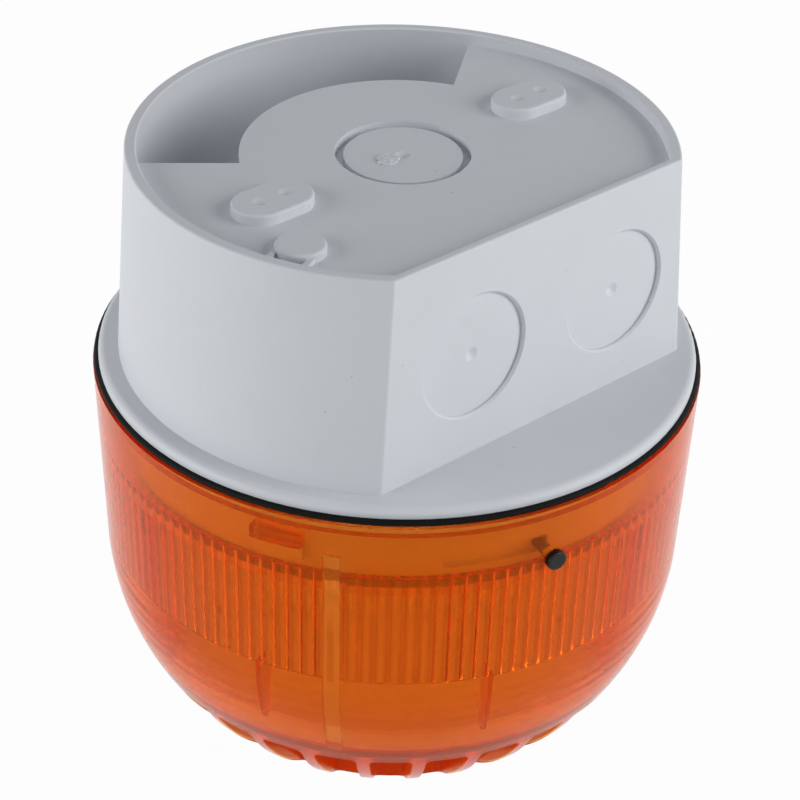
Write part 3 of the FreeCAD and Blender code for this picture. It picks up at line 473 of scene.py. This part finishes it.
bpy.ops.object.select_all(action="DESELECT")
bpy.ops.mesh.primitive_ico_sphere_add(subdivisions=5, radius=gate_radius, location=gate_place)
vestige = bpy.context.object
vestige.name = "gate_vestige"
bpy.ops.object.mode_set(mode="EDIT")
bpy.ops.mesh.select_all(action="SELECT")
bpy.ops.transform.resize(value=gate_stretch)
bpy.ops.object.mode_set(mode="OBJECT")
bpy.ops.object.transform_apply(location=True, rotation=True, scale=True)
lumps = bpy.data.textures.new("gate_lumps", "CLOUDS")
lumps.noise_scale = gate_lump
lumps.noise_depth = 2
ragged = vestige.modifiers.new("ragged", "DISPLACE")
ragged.texture = lumps
ragged.texture_coords = "LOCAL"
ragged.strength = gate_rise
bpy.ops.object.modifier_apply(modifier=ragged.name)
bpy.ops.object.shade_smooth_by_angle(angle=gate_smooth_angle)
vestige.data.materials.append(finishes["base_plastic"])
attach(vestige, "base")
print("gate vestige:", len(vestige.data.polygons), "faces")

# %% [markdown]
# ## World
# The beacon was photographed on white. A bright world would make the background white but would also flood
# the beacon with light. So the world has two strengths: it is plain white where the camera, a reflection or
# the clear lens looks at it, and a weak cool fill where it lights the beacon.

# %% World
fill_strength = 0.2
fill_colour = (0.84, 0.92, 1.0, 1.0)
pure_white = (1, 1, 1, 1)


class Surround(Finish):
    """The world's nodes, added in the same way as a finish's."""

    def __init__(self, world):
        world.use_nodes = True
        self.tree = world.node_tree


def shown_rays(finish):
    """One for rays that show the background: the camera's, and those of gloss and clear plastic."""
    rays = [finish.node("ShaderNodeLightPath", None, None, f"Is {kind} Ray")
            for kind in ("Camera", "Glossy", "Transmission")]
    return finish.node("ShaderNodeClamp", None, {"Value": rays[0] + rays[1] + rays[2]})


world = bpy.data.worlds.new("studio")
bpy.context.scene.world = world
studio = Surround(world)
fill = studio.node("ShaderNodeBackground", None, {"Color": fill_colour, "Strength": fill_strength})
white = studio.node("ShaderNodeBackground", None, {"Color": pure_white, "Strength": 1.0})
either = studio.node("ShaderNodeMixShader", None, {0: shown_rays(studio), 1: fill, 2: white})
studio.feed(studio.tree.nodes["World Output"].inputs["Surface"], either)
print("world: fill", fill_strength)

# %% [markdown]
# ## Lamps
# The light in the picture is soft and comes more from the sides than from above: the upright walls are
# lighter than the plate on top. One big lamp overhead would do the opposite, so two large square lamps
# stand low to the left and the right.

# %% Lamps
lamp_distance = 0.9
lamp_size = 0.6


def soft_lamp(name, azimuth, height, power):
    """A large square lamp at this azimuth and height, in degrees, that faces the beacon."""
    lamp = bpy.data.lights.new(name, "AREA")
    lamp.size = lamp_size
    lamp.energy = power
    towards = view_direction(math.radians(azimuth), math.radians(height))
    lamp_object = bpy.data.objects.new(name, lamp)
    bpy.context.scene.collection.objects.link(lamp_object)
    lamp_object.location = view_target + lamp_distance * towards
    lamp_object.rotation_euler = (-towards).to_track_quat("-Z", "Y").to_euler()
    print(name, "at", azimuth, "degrees:", power, "W")


soft_lamp("left_lamp", -112, 14, 4.5)
soft_lamp("right_lamp", 31, 24, 5.0)

# %% [markdown]
# ## Floor
# The floor is a wide pale sheet that carries the shadow. To the camera, a reflection or the clear lens it
# is mixed with plain white, so that it runs into the background with no horizon and keeps a light shadow.

# %% Floor
floor_size = 4.0
floor_drop = 0.05 * MM
floor_white_share = 0.97
bpy.ops.object.select_all(action="DESELECT")
bpy.ops.mesh.primitive_plane_add(size=floor_size, location=(0, 0, -floor_drop))
floor = bpy.context.object
floor.name = "floor"
paper = Finish("paper")
fibres = paper.noise(2 * MM, 3.0)
paper.surface(Base_Color=paper.blend(fibres, rgb(240, 240, 240), rgb(246, 246, 246)), Roughness=0.9)
plain_white = paper.node("ShaderNodeEmission", None, {"Color": pure_white, "Strength": 1.0})
lit = Value(paper, paper.shader.outputs["BSDF"])
whitened = shown_rays(paper) * floor_white_share
mixed = paper.node("ShaderNodeMixShader", None, {0: whitened, 1: lit, 2: plain_white})
paper.feed(paper.tree.nodes["Material Output"].inputs["Surface"], mixed)
floor.data.materials.append(paper.material)
print("floor:", floor_size, "m wide")

# %% [markdown]
# ## Finish
# The colours were chosen for the plain Standard view.

# %% Finish
bpy.context.scene.view_settings.view_transform = "Standard"
